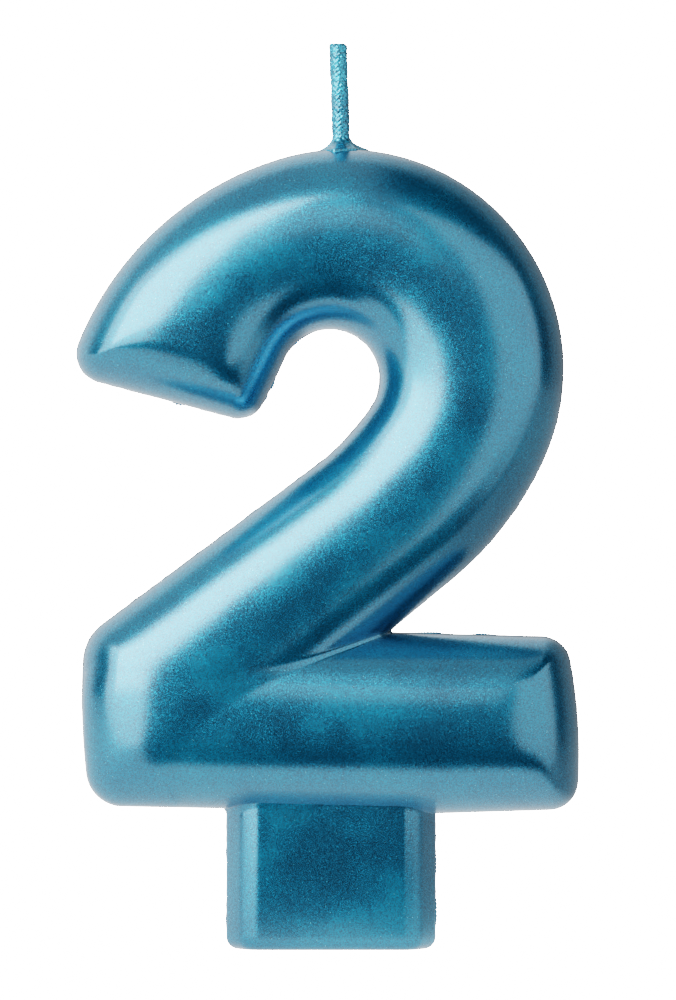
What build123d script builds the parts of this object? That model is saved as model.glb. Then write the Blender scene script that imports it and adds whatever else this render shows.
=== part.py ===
from build123d import *
import math
import os

# A moulded number candle, the figure 2, on a flat foot that is pushed into a cake.
# The origin is the centre of the foot's underside: +Z up, the front faces -Y, +X to the right.
# Millimetres and degrees. Angles of the outline are measured in the XZ plane from +X towards +Z.

# ---- Numeral: overall sizes ----
numeral_height = 60.0       # top of the foot to the crown of the bowl
bar_width = 45.3
bar_height = 15.8
thickness = 13.0            # front to back, at the crest of the pillow
bowl_radius = 20.0          # outside of the bowl, on its right
stroke_width = 15.5         # outside of the bowl to the round hole

# ---- Numeral: outline ----
bowl_x = 1.25               # centre of the bowl, from the foot's centre line
hole_shift_x = -1.3         # centre of the round hole, from the bowl's centre
hole_shift_z = -0.9
shoulder_radius = 28.8      # flatter arc on the bowl's left
shoulder_join = 106.4
heel_radius = 30.6          # flatter arc from the bowl into the diagonal
heel_join = -24.5
blend_radius = 22.0         # from the round hole into the diagonal
blend_join = -33.4
throat_slope = 64.4         # straight run from the hole down to the stroke's end
end_slope = -14.9           # face of the stroke's end
end_drop = 7.2              # that face below the bowl's centre, at the bowl's centre line
diagonal_width = 27.95      # along the top of the bar, from its left end to the notch
left_corner_drop = 0.5      # the diagonal's left corner below the top of the bar

# ---- Numeral: corners seen from the front ----
tip_corner = 3.0            # outer corner of the stroke's end
throat_corner = 2.6
left_corner = 4.3
bar_corner = 3.0

# ---- Numeral: pillowed faces ----
crown_rise = 1.3            # crest of the face above the start of the rim
crest_half = 1.25           # half the width of the flat crest
rim_bevel = 2.6             # broad bevel between the side wall and that slope
rim_soften = 0.9            # small bevel between the side wall and the broad one

# ---- Foot ----
foot_width = 19.1
foot_height = 12.85
foot_thickness = 6.5
foot_side_radius = 3.0
foot_sole_radius = 1.2
foot_root = 4.0             # how far the foot runs up into the bar
pour_margin = 1.8           # lacquered lip round the bare patch under the foot

# ---- Lacquer ----
body_film = 0.2

# ---- Wick ----
wick_diameter = 1.6
wick_length = 9.65          # above the crown
wick_floor = 4.5            # wax left between the wick's end and the round hole
wick_shift = -0.25          # from the bowl's centre line
wick_lean = 1.8             # from the vertical, towards the left
wick_film = 0.08
priming_wall = 0.07
ply_clearance = 0.01
ply_count = 3
lay_ratio = 3.125           # length of one turn of the plies, in wick diameters
seal_wall = 0.28            # sealing wax between the primed wick and the pierced hole
meniscus_spread = 0.75      # foot of the meniscus beyond the pierced hole
meniscus_height = 0.9
collar_spread = 0.65        # foot of the lacquered collar beyond the meniscus
collar_height = 1.3
seat_depth = 1.0            # how far the blanks of the meniscus and collar start below the crown

level_tolerance = 0.01      # for finding edges that lie at one level


def unit(angle):
    """Unit vector at an angle in the outline's plane."""
    return Vector(math.cos(math.radians(angle)), math.sin(math.radians(angle)))


def arc(centre, radius, start, end):
    """Arc about a centre between two angles."""
    middle = (start + end) / 2
    return ThreePointArc(centre + unit(start) * radius, centre + unit(middle) * radius, centre + unit(end) * radius)


def tangent_angle(point, centre, radius):
    """Angle on a circle where the line from an outside point touches it, on its lower right."""
    reach = point - centre
    return math.degrees(math.atan2(reach.Y, reach.X)) + math.degrees(math.acos(radius / reach.length))


def crossing(point_a, slope_a, point_b, slope_b):
    """Point where two lines meet."""
    run_a = unit(slope_a)
    run_b = unit(slope_b)
    gap = point_b - point_a
    along = (gap.X * run_b.Y - gap.Y * run_b.X) / (run_a.X * run_b.Y - run_a.Y * run_b.X)
    return point_a + run_a * along


def line_on_circle(point, slope, centre, radius):
    """The left-hand point where a line cuts a circle."""
    run = unit(slope)
    gap = point - centre
    middle = -gap.dot(run)
    half = math.sqrt(middle**2 - gap.dot(gap) + radius**2)
    return point + run * (middle - half)


# ---- Centres and corners of the outline ----
crown_z = foot_height + numeral_height
crown_run = min(stroke_width, bar_height) / 2 - crest_half
bar_top = foot_height + bar_height
bar_left = -bar_width / 2
hole_radius = bowl_radius - stroke_width
bowl = Vector(bowl_x, crown_z - bowl_radius)
hole = bowl + Vector(hole_shift_x, hole_shift_z)
shoulder = bowl - unit(shoulder_join) * (shoulder_radius - bowl_radius)
heel = bowl - unit(heel_join) * (heel_radius - bowl_radius)
blend = hole - unit(blend_join) * (blend_radius - hole_radius)

notch = Vector(bar_left + diagonal_width, bar_top)
diagonal_left = Vector(bar_left, bar_top - left_corner_drop)
heel_end = tangent_angle(notch, heel, heel_radius)
blend_end = tangent_angle(diagonal_left, blend, blend_radius)
heel_point = heel + unit(heel_end) * heel_radius
blend_point = blend + unit(blend_end) * blend_radius
throat_angle = throat_slope + 90
throat_point = hole + unit(throat_angle) * hole_radius
end_point = Vector(bowl.X, bowl.Y - end_drop)
throat_end = crossing(throat_point, throat_slope, end_point, end_slope)
tip = line_on_circle(end_point, end_slope, shoulder, shoulder_radius)
shoulder_end = math.degrees(math.atan2(tip.Y - shoulder.Y, tip.X - shoulder.X))
toe = crossing(heel_point, heel_end + 90, Vector(0, foot_height), 0)


def stroke_outline():
    """Hook and diagonal, run down through the bar, with sharp corners."""
    with BuildSketch() as outline:
        with BuildLine():
            Line(toe, heel_point)
            arc(heel, heel_radius, heel_end, heel_join)
            arc(bowl, bowl_radius, heel_join, shoulder_join)
            arc(shoulder, shoulder_radius, shoulder_join, shoulder_end)
            Polyline(tip, throat_end, throat_point)
            arc(hole, hole_radius, throat_angle, blend_join)
            arc(blend, blend_radius, blend_join, blend_end)
            Polyline(blend_point, diagonal_left, Vector(bar_left, foot_height), toe)
        make_face()
    return outline.sketch


def bar_outline():
    """Base bar with sharp corners."""
    with BuildSketch() as outline:
        with Locations((0, foot_height + bar_height / 2)):
            Rectangle(bar_width, bar_height)
    return outline.sketch


def corner_at(outline, point):
    """The outline's corner nearest to a point."""
    return outline.vertices().sort_by_distance(Vector(point.X, point.Y))[0]


def rounded_stroke_outline():
    """The stroke with the corners that show from the front rounded."""
    with BuildSketch() as outline:
        add(stroke_outline())
        fillet(corner_at(outline, tip), tip_corner)
        fillet(corner_at(outline, throat_end), throat_corner)
        fillet(corner_at(outline, diagonal_left), left_corner)
        fillet(corner_at(outline, Vector(bar_left, foot_height)), bar_corner)
    return outline.sketch


def rounded_bar_outline():
    """The bar with rounded corners."""
    with BuildSketch() as outline:
        add(bar_outline())
        fillet(outline.vertices(), bar_corner)
    return outline.sketch


def drawn_in(outline, inset):
    """An outline moved inwards, its sharp corners kept."""
    if inset == 0:
        return outline
    return offset(outline, -inset, kind=Kind.INTERSECTION, mode=Mode.PRIVATE)


def level_edges(slab, height):
    """The edges that run round a slab at one distance from its mid-plane, front and back."""
    flat = slab.edges().filter_by(lambda edge: edge.bounding_box().size.Y < level_tolerance)
    return flat.filter_by(lambda edge: abs(abs(edge.center().Y) - height) < level_tolerance)


def pillow(outline, rounded, inset):
    """A pillowed slab: a crowned face and a bevelled rim front and back, cut to the rounded outline."""
    half = thickness / 2 - inset
    front = Plane.XZ.offset(-half)
    with BuildPart() as slab:
        with BuildSketch(front):
            add(drawn_in(outline, inset))
        extrude(amount=2 * half)
        for end in (0, -1):
            face = slab.faces().filter_by(Axis.Y).sort_by(Axis.Y)[end]
            chamfer(face.edges(), length=crown_run, length2=crown_rise, reference=face)
        chamfer(level_edges(slab, half - crown_rise), rim_bevel)
        chamfer(level_edges(slab, half - crown_rise - rim_bevel), rim_soften)
        with BuildSketch(front):
            add(drawn_in(rounded, inset))
        extrude(amount=2 * half, mode=Mode.INTERSECT)
    return slab.part


def foot_block(inset):
    """The foot: a slab with rounded sides and a rounded sole, run up into the bar."""
    with BuildPart() as block:
        with BuildSketch(Plane.XY.offset(inset)):
            RectangleRounded(foot_width - 2 * inset, foot_thickness - 2 * inset, foot_side_radius - inset)
        extrude(amount=foot_height + foot_root - inset)
        fillet(block.faces().sort_by(Axis.Z)[0].edges(), foot_sole_radius - inset)
    return block.part


def numeral(inset):
    """The whole figure and its foot, drawn in by an inset all round."""
    with BuildPart() as figure:
        add(pillow(stroke_outline(), rounded_stroke_outline(), inset))
        add(pillow(bar_outline(), rounded_bar_outline(), inset))
        add(foot_block(inset))
    return figure.part


# ---- Wick frame: its origin on the crown, its Z along the leaning wick ----
lean = math.radians(wick_lean)
wick_bury = stroke_width - wick_floor
wick_root = Vector(bowl.X + wick_shift, 0, bowl.Y + math.sqrt(bowl_radius**2 - wick_shift**2))
wick_run = Vector(-math.sin(lean), 0, math.cos(lean))
wick_side = Vector(math.cos(lean), 0, math.sin(lean))
wick_plane = Plane(origin=wick_root, x_dir=wick_side, z_dir=wick_run)
wick_section = Plane(origin=wick_root, x_dir=wick_side, z_dir=(0, -1, 0))
wick_axis = Axis(wick_root, wick_run)

wick_radius = wick_diameter / 2
priming_radius = wick_radius - wick_film
pierced_radius = priming_radius + seal_wall
seal_radius = pierced_radius + meniscus_spread
collar_radius = seal_radius + collar_spread
bundle_radius = priming_radius - priming_wall - ply_clearance
lay_factor = 1 / math.sin(math.pi / ply_count)
ply_radius = (bundle_radius - lay_factor * ply_clearance) / (1 + lay_factor)
ply_circle = bundle_radius - ply_radius
wick_core_length = wick_bury + wick_length - wick_film

outer_figure = numeral(0)
inner_figure = numeral(body_film)

# ---- Wax body: one pour, with the hole pierced for the wick ----
with BuildPart() as wax_body:
    add(inner_figure)
    with BuildSketch():
        Rectangle(foot_width - 2 * pour_margin, foot_thickness - 2 * pour_margin)
    extrude(amount=foot_root)
    with BuildSketch(wick_plane.offset(-wick_bury)):
        Circle(pierced_radius)
    extrude(amount=wick_bury + wick_length, mode=Mode.SUBTRACT)
wax_body.part.label = "wax_body"

# ---- Wick seal: wax in the pierced hole, and the meniscus that stands up round the wick ----
with BuildPart() as wick_seal:
    with BuildSketch(wick_section):
        with BuildLine():
            Polyline(
                (priming_radius, meniscus_height),
                (priming_radius, -wick_bury),
                (pierced_radius, -wick_bury),
                (pierced_radius, -seat_depth),
                (seal_radius, -seat_depth),
                (seal_radius, 0),
            )
            RadiusArc((seal_radius, 0), (wick_radius, meniscus_height), meniscus_height * 1.5)
            Line((wick_radius, meniscus_height), (priming_radius, meniscus_height))
        make_face()
    revolve(axis=wick_axis)
    add(wax_body.part, mode=Mode.SUBTRACT)
wick_seal.part.label = "wick_seal"

# ---- Wick plies: three cotton yarns twisted together ----
with BuildPart() as wick_ply:
    with BuildLine() as lay:
        Helix(
            pitch=lay_ratio * wick_diameter,
            height=wick_core_length,
            radius=ply_circle,
            center=wick_root - wick_run * wick_bury,
            direction=wick_run,
        )
    with BuildSketch(Plane(origin=lay.line @ 0, z_dir=lay.line % 0)):
        Circle(ply_radius)
    sweep(path=lay.line, is_frenet=True)

plies = []
for index in range(ply_count):
    ply = wick_ply.part.rotate(wick_axis, 360 / ply_count * index)
    ply.label = f"wick_ply_{index + 1}"
    plies.append(ply)

# ---- Wick priming: the stiffening wax sleeve round the plies ----
with BuildPart() as wick_priming:
    with BuildSketch(wick_plane.offset(-wick_bury)):
        Circle(priming_radius)
        Circle(bundle_radius + ply_clearance, mode=Mode.SUBTRACT)
    extrude(amount=wick_core_length)
wick_priming.part.label = "wick_priming"

# ---- Body coat: the lacquer film, open round the meniscus and under the foot ----
with BuildPart() as body_coat:
    add(outer_figure)
    add(inner_figure, mode=Mode.SUBTRACT)
    add(wax_body.part, mode=Mode.SUBTRACT)
    with BuildSketch(wick_plane.offset(-seat_depth)):
        Circle(seal_radius)
    extrude(amount=wick_length, mode=Mode.SUBTRACT)
body_coat.part.label = "body_coat"

# ---- Wick coat: the lacquer film over the wick, its end and its flared collar ----
with BuildPart() as wick_coat:
    with BuildSketch(wick_section):
        with BuildLine():
            Polyline(
                (0, wick_length),
                (0, wick_length - wick_film),
                (priming_radius, wick_length - wick_film),
                (priming_radius, -seat_depth),
                (collar_radius, -seat_depth),
                (collar_radius, 0),
            )
            RadiusArc((collar_radius, 0), (wick_radius, collar_height), collar_height * 1.5)
            Polyline((wick_radius, collar_height), (wick_radius, wick_length), (0, wick_length))
        make_face()
    revolve(axis=wick_axis)
    add(outer_figure, mode=Mode.SUBTRACT)
    add(wick_seal.part, mode=Mode.SUBTRACT)
    add(inner_figure, mode=Mode.SUBTRACT)
    with BuildSketch(wick_plane.offset(-2 * seat_depth)):
        Circle(seal_radius)
    extrude(amount=2 * seat_depth, mode=Mode.SUBTRACT)
wick_coat.part.label = "wick_coat"

os.makedirs("parts", exist_ok=True)
export_step(wax_body.part, "parts/wax_body.step")
export_step(wick_seal.part, "parts/wick_seal.step")
for ply in plies:
    export_step(ply, f"parts/{ply.label}.step")
export_step(wick_priming.part, "parts/wick_priming.step")
export_step(body_coat.part, "parts/body_coat.step")
export_step(wick_coat.part, "parts/wick_coat.step")
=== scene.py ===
"""Number candle, the figure 2: metallic lacquer over moulded wax, a braided wick, and a small studio.

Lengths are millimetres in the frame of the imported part: X to the right, Z up, the front towards -Y.
A place in the outline's plane is one complex number, X + Z*1j.
"""

from __future__ import annotations

import logging
import math
from dataclasses import dataclass, field
from enum import Enum

import bpy
import numpy as np
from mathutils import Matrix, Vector

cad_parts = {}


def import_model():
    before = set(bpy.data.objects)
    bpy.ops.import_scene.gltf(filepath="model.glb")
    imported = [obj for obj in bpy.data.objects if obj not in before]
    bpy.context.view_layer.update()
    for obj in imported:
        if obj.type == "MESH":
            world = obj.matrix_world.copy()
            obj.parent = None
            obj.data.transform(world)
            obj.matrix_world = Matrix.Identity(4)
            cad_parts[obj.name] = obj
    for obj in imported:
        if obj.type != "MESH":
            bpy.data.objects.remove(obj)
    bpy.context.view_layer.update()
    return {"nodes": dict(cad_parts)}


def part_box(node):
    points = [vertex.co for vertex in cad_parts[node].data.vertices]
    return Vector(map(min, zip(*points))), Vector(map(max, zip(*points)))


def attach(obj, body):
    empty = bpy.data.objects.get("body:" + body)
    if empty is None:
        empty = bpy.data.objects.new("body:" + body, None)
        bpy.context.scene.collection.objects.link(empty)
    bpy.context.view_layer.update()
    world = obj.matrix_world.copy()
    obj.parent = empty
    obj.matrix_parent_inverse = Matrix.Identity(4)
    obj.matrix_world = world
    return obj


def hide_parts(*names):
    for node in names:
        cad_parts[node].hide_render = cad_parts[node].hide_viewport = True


LOG = logging.getLogger("candle")
METRE = 0.001
BODY = "root"
QUARTER = math.pi / 2


class Slot(Enum):
    """Material slots of the record, one passed with each new piece, though nothing reads it."""

    LACQUER = "metallic_lacquer"
    WICK_LACQUER = "wick_lacquer"
    BARE_WAX = "bare_wax"


class Side(Enum):
    """The two faces of the moulded figure, by the sign of Y."""

    FRONT = -1.0
    BACK = 1.0


# ---------------------------------------------------------------------------------------------
# Plain mathematics on arrays
# ---------------------------------------------------------------------------------------------


def heading(degrees: float) -> complex:
    """Unit number in the outline's plane at an angle from +X towards +Z."""
    return complex(math.cos(math.radians(degrees)), math.sin(math.radians(degrees)))


def ease(value: np.ndarray, low: float, high: float) -> np.ndarray:
    """Smooth step from 0 at low to 1 at high: 3t squared less 2t cubed."""
    t = np.clip((value - low) / (high - low), 0.0, 1.0)
    return t * t * (3.0 - 2.0 * t)


def crossing(start: complex, slope: float, other: complex, other_slope: float) -> complex:
    """Point where two lines meet, each given by a point and a slope in degrees."""
    run, other_run = heading(slope), heading(other_slope)
    along = ((other - start) * other_run.conjugate()).imag / (run * other_run.conjugate()).imag
    return start + run * along


def touching_angle(point: complex, centre: complex, radius: float) -> float:
    """Angle on a circle where the line from an outside point touches it, on its lower right."""
    reach = point - centre
    return math.degrees(math.atan2(reach.imag, reach.real) + math.acos(radius / abs(reach)))


@dataclass(frozen=True)
class Ripple:
    """Smooth unevenness: a sum of plane waves with set directions and chance phases.

    The value at a place is the mean of sin(k.p + phase) over the waves, times the height.
    """

    height: float
    wavelength: float
    seed: int
    waves: int = 9

    def at(self, *axes: np.ndarray) -> np.ndarray:
        """Height of the ripple at places given by two or three coordinate arrays.

        Args:
            axes: coordinates in millimetres, arrays of one shape.

        Returns:
            The height there, with about the asked amplitude.
        """
        draw = np.random.default_rng(self.seed)
        total = np.zeros_like(axes[0])
        for _ in range(self.waves):
            direction = draw.normal(size=len(axes))
            direction /= np.linalg.norm(direction)
            number = 2 * math.pi / (self.wavelength * draw.uniform(0.7, 1.6))
            phase = draw.uniform(0, 2 * math.pi)
            total += np.sin(sum(number * d * a for d, a in zip(direction, axes)) + phase)
        return self.height * total / math.sqrt(self.waves)


# ---------------------------------------------------------------------------------------------
# Outlines: closed rows of straight and round edges, walked with the wax on the left
# ---------------------------------------------------------------------------------------------


@dataclass(frozen=True)
class Straight:
    """Straight edge between two points."""

    start: complex
    end: complex

    @property
    def run(self) -> complex:
        """Unit direction of travel."""
        return (self.end - self.start) / abs(self.end - self.start)

    @property
    def length(self) -> float:
        """Length of the edge."""
        return abs(self.end - self.start)

    def offset(self, place: np.ndarray) -> np.ndarray:
        """Distance to the left of the whole line: the part of (place - start)/run along 1j."""
        return ((place - self.start) * np.conj(self.run)).imag

    def depth(self, place: np.ndarray) -> np.ndarray:
        """Signed distance to the edge itself, positive on its left."""
        local = (place - self.start) * np.conj(self.run)
        beyond = local.real - np.clip(local.real, 0.0, self.length)
        return np.where(local.imag >= 0, 1.0, -1.0) * np.hypot(beyond, local.imag)

    def foot_of(self, place: complex) -> complex:
        """Point of the line nearest to a place."""
        return self.start + self.run * ((place - self.start) * self.run.conjugate()).real

    def cut(self, start: complex | None, end: complex | None) -> Straight:
        """The same edge between new ends."""
        return Straight(self.start if start is None else start, self.end if end is None else end)

    def walk(self, share: np.ndarray) -> tuple[np.ndarray, np.ndarray]:
        """Points at shares 0 to 1 of the edge, and the unit direction out of the wax there."""
        return self.start + (self.end - self.start) * share, np.full(share.shape, -1j * self.run)


@dataclass(frozen=True)
class Round:
    """Arc about a centre, from one angle to another in degrees; a falling angle hollows the wax."""

    centre: complex
    radius: float
    first: float
    last: float

    @property
    def turn(self) -> float:
        """1 where the wax is on the centre's side, -1 where the arc hollows it."""
        return 1.0 if self.last > self.first else -1.0

    @property
    def start(self) -> complex:
        """First point of the arc."""
        return self.centre + self.radius * heading(self.first)

    @property
    def end(self) -> complex:
        """Last point of the arc."""
        return self.centre + self.radius * heading(self.last)

    @property
    def length(self) -> float:
        """Length along the arc."""
        return self.radius * math.radians(abs(self.last - self.first))

    def offset(self, place: np.ndarray) -> np.ndarray:
        """Distance into the wax from the whole circle."""
        return self.turn * (self.radius - np.abs(place - self.centre))

    def depth(self, place: np.ndarray) -> np.ndarray:
        """Signed distance to the arc itself, positive in the wax."""
        middle, half = (self.first + self.last) / 2, math.radians(abs(self.last - self.first)) / 2
        local = (place - self.centre) / heading(middle)
        nearest = self.radius * np.exp(1j * np.clip(np.angle(local), -half, half))
        return np.where(self.offset(place) >= 0, 1.0, -1.0) * np.abs(local - nearest)

    def foot_of(self, place: complex) -> complex:
        """Point of the circle nearest to a place."""
        return self.centre + self.radius * (place - self.centre) / abs(place - self.centre)

    def cut(self, start: complex | None, end: complex | None) -> Round:
        """The same arc between new ends."""
        first, last = self.first, self.last
        if start is not None:
            first += math.degrees(np.angle((start - self.centre) / heading(self.first)))
        if end is not None:
            last += math.degrees(np.angle((end - self.centre) / heading(self.last)))
        return Round(self.centre, self.radius, first, last)

    def walk(self, share: np.ndarray) -> tuple[np.ndarray, np.ndarray]:
        """Points at shares 0 to 1 of the arc, and the unit direction out of the wax there."""
        angle = np.radians(self.first + (self.last - self.first) * share)
        spoke = np.exp(1j * angle)
        return self.centre + self.radius * spoke, self.turn * spoke


Edge = Straight | Round


def rounded_corner(before: Edge, after: Edge, radius: float) -> tuple[Edge, Round, Edge]:
    """Round the corner between two edges.

    The centre is the point one radius inside both edges, found by Newton steps from the corner.

    Args:
        before: edge that ends at the corner.
        after: edge that starts there.
        radius: radius of the rounding.

    Returns:
        The first edge, the round, and the second edge, trimmed to meet.
    """
    centre, nudge = before.end, 1e-4
    for _ in range(12):
        gaps = [radius - float(edge.offset(centre)) for edge in (before, after)]
        slopes = [
            [float(edge.offset(centre + step) - edge.offset(centre)) / nudge for step in (nudge, 1j * nudge)]
            for edge in (before, after)
        ]
        move = np.linalg.solve(np.array(slopes), np.array(gaps))
        centre += complex(*move)
    entry, leave = before.foot_of(centre), after.foot_of(centre)
    first = math.degrees(np.angle(entry - centre))
    swing = math.degrees(np.angle((leave - centre) / (entry - centre)))
    return before.cut(None, entry), Round(centre, radius, first, first + swing), after.cut(leave, None)


@dataclass(frozen=True)
class Outline:
    """Closed row of edges walked anticlockwise, so the wax is on the left."""

    edges: tuple[Edge, ...]

    def depth(self, place: np.ndarray) -> np.ndarray:
        """Signed distance into the outline: that of the nearest edge, positive inside."""
        best = self.edges[0].depth(place)
        for edge in self.edges[1:]:
            other = edge.depth(place)
            best = np.where(np.abs(other) < np.abs(best), other, best)
        return best

    def walk(self, step: float) -> tuple[np.ndarray, np.ndarray]:
        """Points along the outline about one step apart, and the outward directions there."""
        points, outward = [], []
        for edge in self.edges:
            count = max(2, int(edge.length / step))
            there, out = edge.walk(np.arange(count) / count)
            points.append(there)
            outward.append(out)
        return np.concatenate(points), np.concatenate(outward)

    @staticmethod
    def rounded(edges: list[Edge], radii: dict[int, float]) -> Outline:
        """Outline from edges that meet in sharp corners.

        Args:
            edges: the edges in order.
            radii: radius of the corner at the end of the edge with that index.

        Returns:
            The outline with those corners rounded.
        """
        trimmed, rounds = list(edges), {}
        for index, radius in radii.items():
            after = (index + 1) % len(edges)
            trimmed[index], rounds[index], trimmed[after] = rounded_corner(
                trimmed[index], trimmed[after], radius
            )
        row = []
        for index, edge in enumerate(trimmed):
            row.append(edge)
            if index in rounds:
                row.append(rounds[index])
        return Outline(tuple(row))


# ---------------------------------------------------------------------------------------------
# Meshes
# ---------------------------------------------------------------------------------------------


@dataclass
class Skin:
    """Mesh as arrays: vertices in millimetres, faces of four, and an outward normal at each vertex."""

    points: np.ndarray
    faces: np.ndarray
    normals: np.ndarray

    @staticmethod
    def woven(points: np.ndarray, closed: bool, lids: tuple[bool, bool] = (False, False)) -> Skin:
        """Skin from a grid of points whose second index runs round or along.

        Args:
            points: array of rows by columns by 3, rows going up where columns go anticlockwise.
            closed: whether the last column joins the first.
            lids: whether the first row and the last row are closed to their middle.

        Returns:
            The skin, with normals averaged from its faces.
        """
        rows, columns = points.shape[:2]
        flat = points.reshape(-1, 3)
        index = np.arange(rows * columns).reshape(rows, columns)
        low, high = index[:-1], index[1:]
        if closed:
            near, far = (low, high), (np.roll(low, -1, 1), np.roll(high, -1, 1))
        else:
            near, far = (low[:, :-1], high[:, :-1]), (low[:, 1:], high[:, 1:])
        faces = [np.stack([near[0], far[0], far[1], near[1]], -1).reshape(-1, 4)]
        for lid, row, outwards in ((lids[0], index[0], False), (lids[1], index[-1], True)):
            if not lid:
                continue
            flat = np.vstack([flat, flat[row].mean(0)])
            hub = np.full(columns, len(flat) - 1)
            ring = (row, np.roll(row, -1)) if outwards else (np.roll(row, -1), row)
            faces.append(np.stack([ring[0], ring[1], hub, hub], -1))
        faces_all = np.vstack(faces)
        return Skin(flat, faces_all, averaged_normals(flat, faces_all))

    @staticmethod
    def joined(skins: list[Skin]) -> Skin:
        """Several skins as one."""
        starts = np.cumsum([0] + [len(s.points) for s in skins[:-1]])
        return Skin(
            np.vstack([s.points for s in skins]),
            np.vstack([s.faces + start for s, start in zip(skins, starts)]),
            np.vstack([s.normals for s in skins]),
        )


def averaged_normals(points: np.ndarray, faces: np.ndarray) -> np.ndarray:
    """Vertex normals: the cross products of the faces' diagonals, added up and made unit."""
    diagonal = points[faces[:, 2]] - points[faces[:, 0]]
    across = points[faces[:, 3]] - points[faces[:, 1]]
    flat = np.cross(diagonal, across)
    total = np.stack(
        [
            sum(np.bincount(faces[:, c], flat[:, axis], len(points)) for c in range(4))
            for axis in range(3)
        ],
        -1,
    )
    return total / np.maximum(np.linalg.norm(total, axis=1, keepdims=True), 1e-12)


def as_object(name: str, skin: Skin, finish: bpy.types.Material) -> bpy.types.Object:
    """Put a skin into the scene as a smooth object at the origin.

    Args:
        name: name of the piece.
        skin: its mesh in millimetres.
        finish: its material.

    Returns:
        The object.
    """
    doubled = skin.faces[:, 2] == skin.faces[:, 3]
    loops = np.where(doubled, 3, 4)
    corners = skin.faces.ravel()[~(np.repeat(doubled, 4) & (np.tile([0, 0, 0, 1], len(doubled)) > 0))]
    mesh = bpy.data.meshes.new(name)
    mesh.vertices.add(len(skin.points))
    mesh.vertices.foreach_set("co", (skin.points * METRE).astype(np.float32).ravel())
    mesh.loops.add(len(corners))
    mesh.loops.foreach_set("vertex_index", corners.astype(np.int32))
    mesh.polygons.add(len(loops))
    mesh.polygons.foreach_set("loop_start", (np.cumsum(loops) - loops).astype(np.int32))
    mesh.polygons.foreach_set("use_smooth", np.ones(len(loops), bool))
    mesh.update(calc_edges=True)
    mesh.validate()
    mesh.normals_split_custom_set_from_vertices(skin.normals.astype(np.float32).tolist())
    mesh.materials.append(finish)
    piece = bpy.data.objects.new(name, mesh)
    bpy.context.scene.collection.objects.link(piece)
    return piece


# ---------------------------------------------------------------------------------------------
# The figure's shape
# ---------------------------------------------------------------------------------------------


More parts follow.
